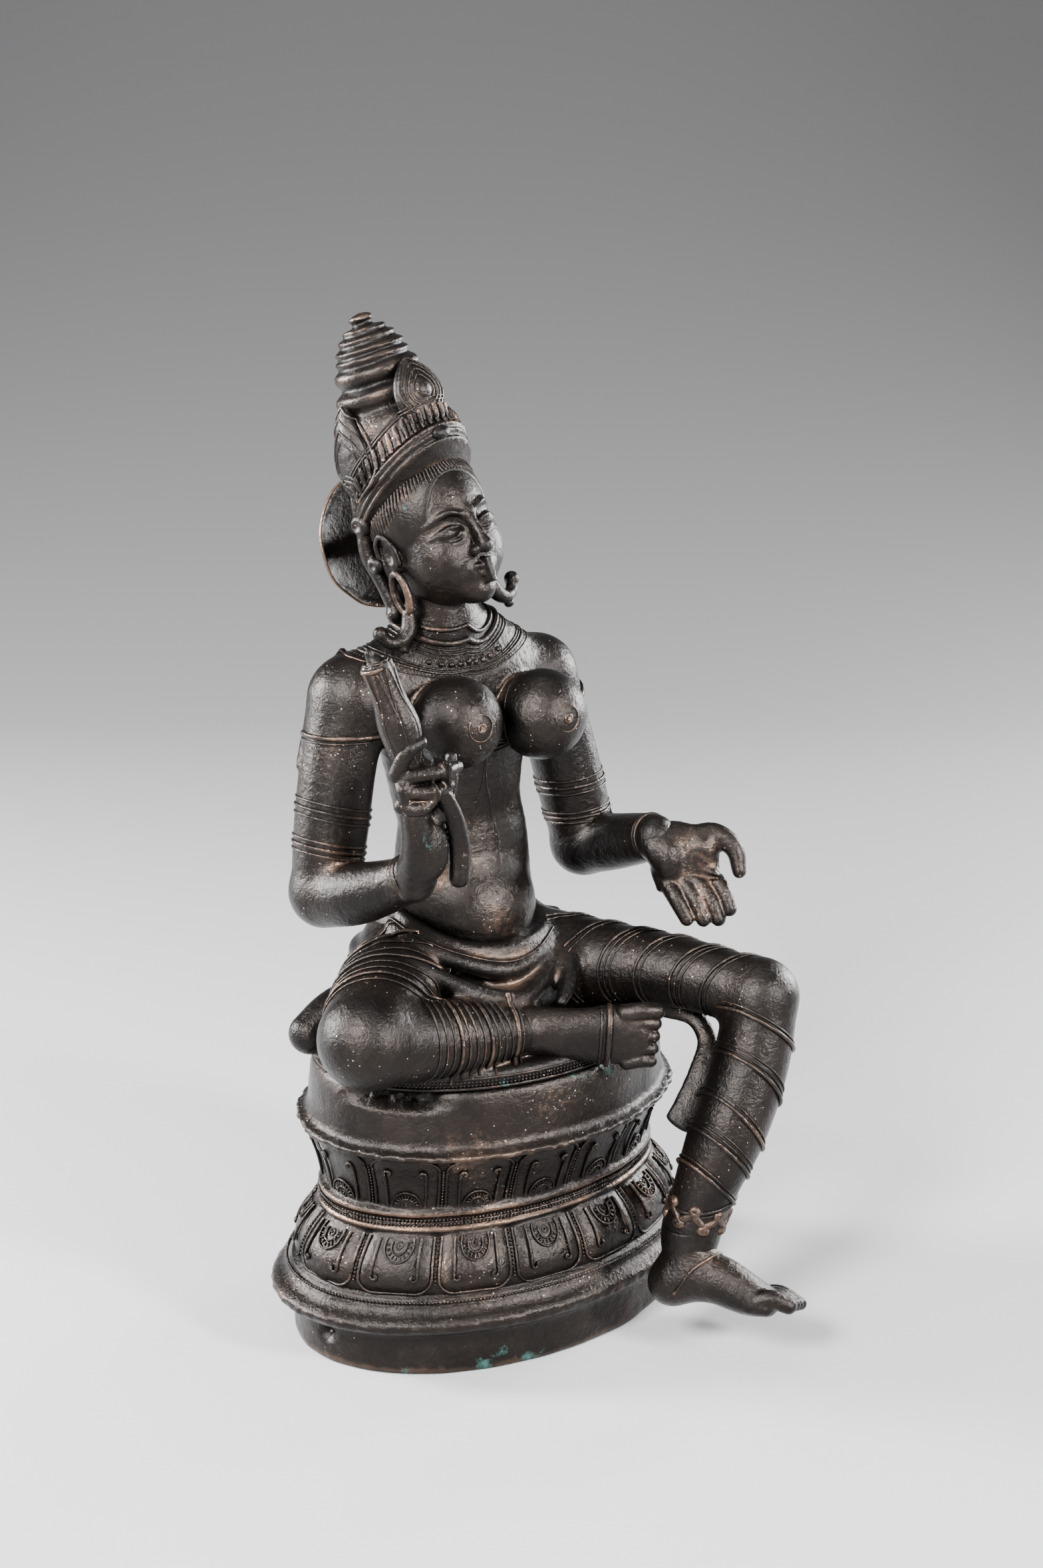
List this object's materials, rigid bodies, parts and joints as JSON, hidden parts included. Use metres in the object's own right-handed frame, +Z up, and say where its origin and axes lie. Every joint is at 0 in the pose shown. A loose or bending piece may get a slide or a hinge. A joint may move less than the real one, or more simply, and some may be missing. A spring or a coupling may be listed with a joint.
{
  "type": "sridevi figure",
  "caption": "Cast bronze seated goddess in a tall ringed crown, one leg folded and one hanging, holding a lotus bud, on an oval double-lotus pedestal.",
  "frame": {"origin": "centre of the pedestal's flat underside", "axes": "+Z up; the goddess faces -Y; her left side, with the hanging leg, is +X"},
  "size_m": [0.2002, 0.2042, 0.4196],
  "materials": {
    "figure_bronze": "dark patinated bronze, satin, rubbed warm on the high spots",
    "pedestal_bronze": "dark patinated bronze, satin, with verdigris in the joint and on the foot band"
  },
  "bodies": {
    "root": {"figure": "figure_bronze", "lotus_pedestal": "pedestal_bronze"}
  },
  "joints": []
}
